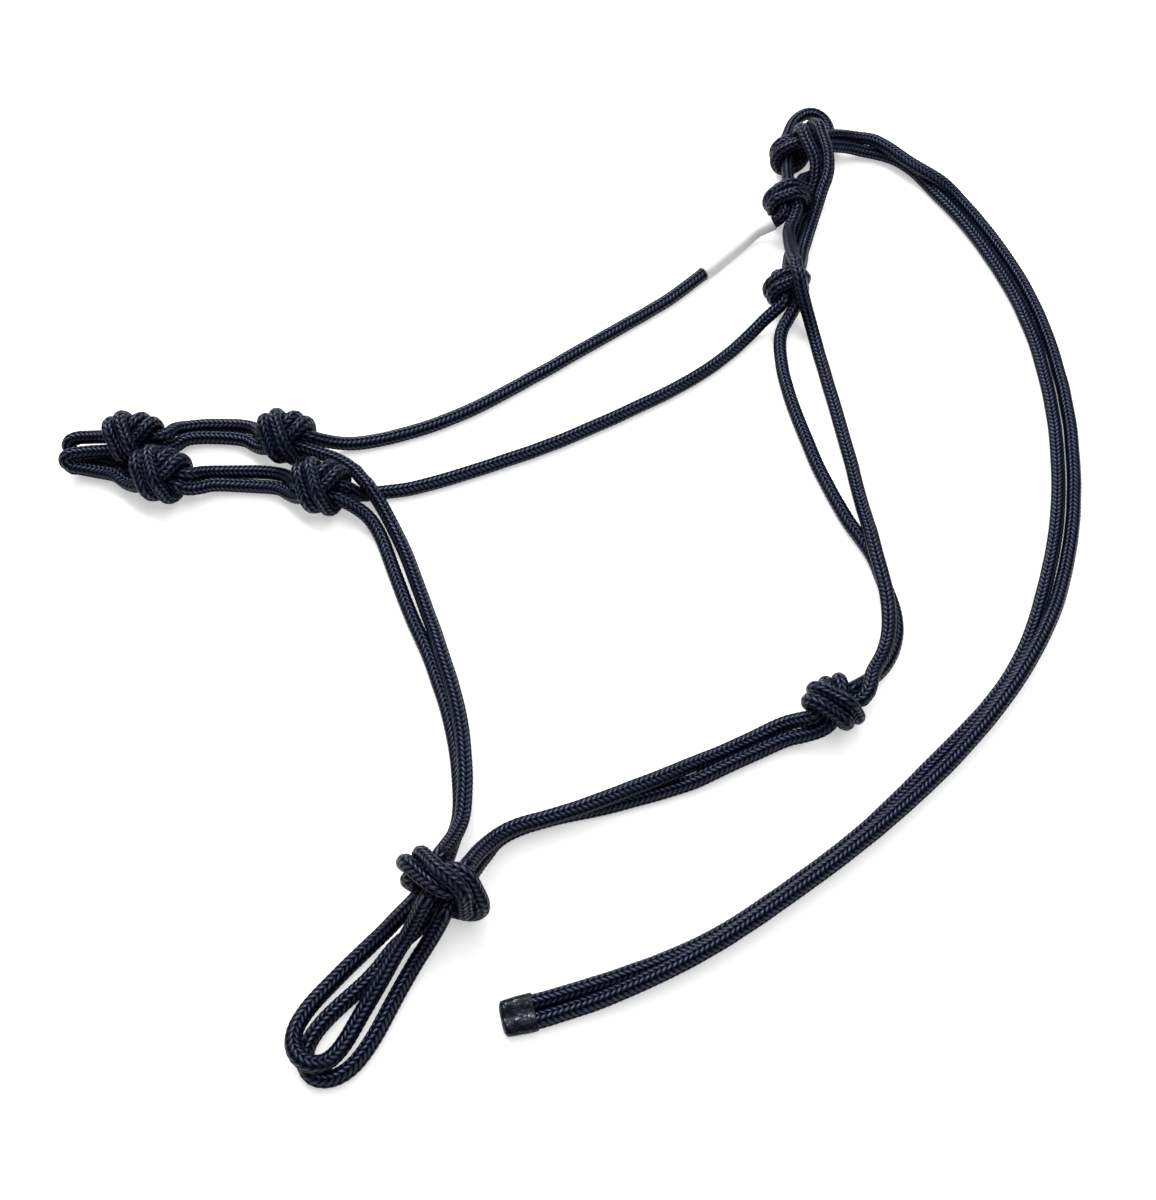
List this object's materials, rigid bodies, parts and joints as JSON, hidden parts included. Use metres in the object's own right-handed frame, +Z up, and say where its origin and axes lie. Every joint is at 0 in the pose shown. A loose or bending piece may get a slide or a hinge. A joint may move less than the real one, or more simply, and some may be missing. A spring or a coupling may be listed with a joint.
{
  "type": "rope halter",
  "caption": "Hand-knotted braided rope halter laid on its side: noseband, cheeks, throatlatch, tie loops, eye with hitched crown tail, label sleeve and end sleeve.",
  "frame": {"origin": "centre of the laid-out halter in plan, on the plane it lies on", "axes": "+X from the noseband towards the crown end, +Y from the tie loops towards the crown eye, +Z up from the plane the halter lies on"},
  "size_m": [0.4701, 0.5041, 0.0382],
  "materials": {
    "rope": "matte braided polyester sheath, dark navy",
    "label": "plain white heat-shrunk sleeve, semi-matt",
    "end_sleeve": "black glossy heat-shrunk sleeve"
  },
  "bodies": {
    "headpiece": {"side_knot_near": "rope", "side_knot_off": "rope", "cheek_near": "rope", "label_sleeve": "label", "cheek_off": "rope", "near_eye_knot": "rope", "off_crown_knot": "rope", "eye_loop": "rope", "crown_hitch_outer": "rope", "crown_hitch_inner": "rope", "throat_upper_near": "rope", "throat_upper_off": "rope"},
    "noseband": {"noseband_near_upper": "rope", "noseband_near_lower": "rope", "noseband_off_upper": "rope", "noseband_off_lower": "rope", "nose_knot_near": "rope", "nose_knot_off": "rope", "noseband_front_upper": "rope", "noseband_front_lower": "rope"},
    "jaw": {"chin_near": "rope", "chin_off": "rope", "fiador_knot": "rope", "throat_lower_upper_rope": "rope", "throat_lower_lower_rope": "rope", "throat_knot": "rope", "throat_bend_near": "rope", "throat_bend_off": "rope"},
    "loop_upper": {"tie_loop_upper": "rope"},
    "loop_lower": {"tie_loop_lower": "rope"},
    "tail_a": {"crown_tail_a_outer": "rope", "crown_tail_a_inner": "rope"},
    "tail_b": {"crown_tail_b_outer": "rope", "crown_tail_b_inner": "rope"},
    "tail_c": {"crown_tail_c_outer": "rope", "crown_tail_c_inner": "rope", "tail_end_sleeve": "end_sleeve"}
  },
  "joints": [
    {"name": "noseband_swing", "type": "hinge", "parent": "headpiece", "child": "noseband", "pos_m": [-0.13324, 0.0146, 0.01002], "axis": [-0.5617, 0.8274, -0.0018], "range_deg": [-15, 35]},
    {"name": "throatlatch_swing", "type": "hinge", "parent": "headpiece", "child": "jaw", "pos_m": [0.01553, -0.02659, 0.00639], "axis": [-0.9401, 0.3408, -0.0017], "range_deg": [0, 30]},
    {"name": "upper_loop_swing", "type": "hinge", "parent": "jaw", "child": "loop_upper", "pos_m": [-0.05889, -0.19178, 0.01819], "axis": [-0.7764, 0.6302, 0], "range_deg": [0, 40]},
    {"name": "lower_loop_swing", "type": "hinge", "parent": "jaw", "child": "loop_lower", "pos_m": [-0.05261, -0.19532, 0.01303], "axis": [-0.7764, 0.6302, 0], "range_deg": [-30, 0]},
    {"name": "tail_root_swing", "type": "hinge", "parent": "headpiece", "child": "tail_a", "pos_m": [0.15327, 0.22785, 0.00814], "axis": [0, 0, 1], "range_deg": [-1, 25]},
    {"name": "tail_lift", "type": "hinge", "parent": "tail_a", "child": "tail_b", "pos_m": [0.22007, 0.13413, 0.00349], "axis": [-0.9674, -0.2533, 0], "range_deg": [0, 30]},
    {"name": "tail_end_swing", "type": "hinge", "parent": "tail_b", "child": "tail_c", "pos_m": [0.20096, -0.05988, 0.00555], "axis": [0, 0, 1], "range_deg": [-1, 25]}
  ]
}
